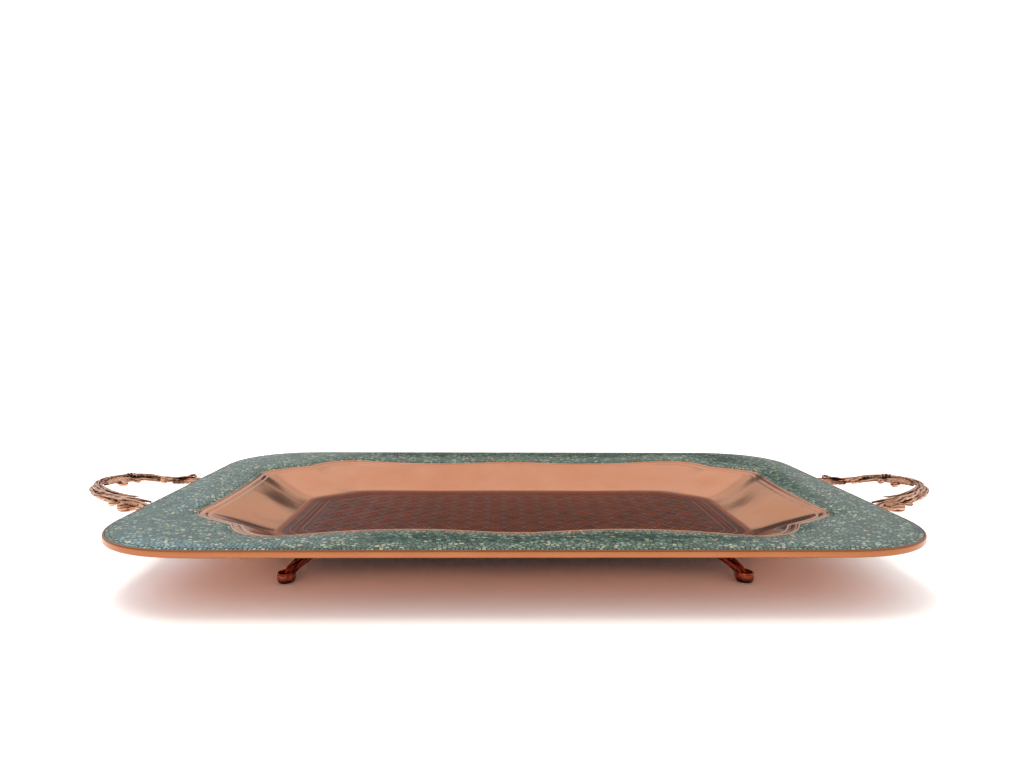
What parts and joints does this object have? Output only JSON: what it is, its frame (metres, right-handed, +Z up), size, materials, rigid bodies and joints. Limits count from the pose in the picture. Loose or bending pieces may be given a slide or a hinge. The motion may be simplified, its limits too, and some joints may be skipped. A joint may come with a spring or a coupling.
{
  "type": "serving tray",
  "caption": "Rectangular copper serving tray with a wide turquoise mosaic rim, a sunk fluted well, cast branch handles and scroll feet.",
  "frame": {"origin": "on the table, under the middle of the tray", "axes": "+X along the tray's length towards the right handle, +Y towards its rear, +Z up"},
  "size_m": [0.573, 0.305, 0.041],
  "materials": {
    "polished_copper": "hand-polished copper, softly mottled",
    "copper_band": "plain rolled copper strip, satin polish",
    "turquoise": "turquoise chips from dark teal to pale grey-green, ground flush and polished",
    "black_lac": "black lac, polished",
    "antique_copper": "cast copper, darkened in the recesses and burnished on the high spots",
    "brass_fixings": "turned brass, plain"
  },
  "bodies": {
    "root": {"tray_pan": "polished_copper", "edge_band": "copper_band", "well_fence": "polished_copper", "lac_bed": "black_lac", "turquoise_mosaic": "turquoise", "left_handle": "antique_copper", "left_handle_studs": "brass_fixings", "left_handle_washers": "brass_fixings", "left_handle_nuts": "brass_fixings", "right_handle": "antique_copper", "right_handle_studs": "brass_fixings", "right_handle_washers": "brass_fixings", "right_handle_nuts": "brass_fixings", "foot_front_left": "antique_copper", "foot_front_right": "antique_copper", "foot_rear_left": "antique_copper", "foot_rear_right": "antique_copper", "foot_studs": "brass_fixings", "foot_washers": "brass_fixings", "foot_nuts": "brass_fixings"}
  },
  "joints": []
}
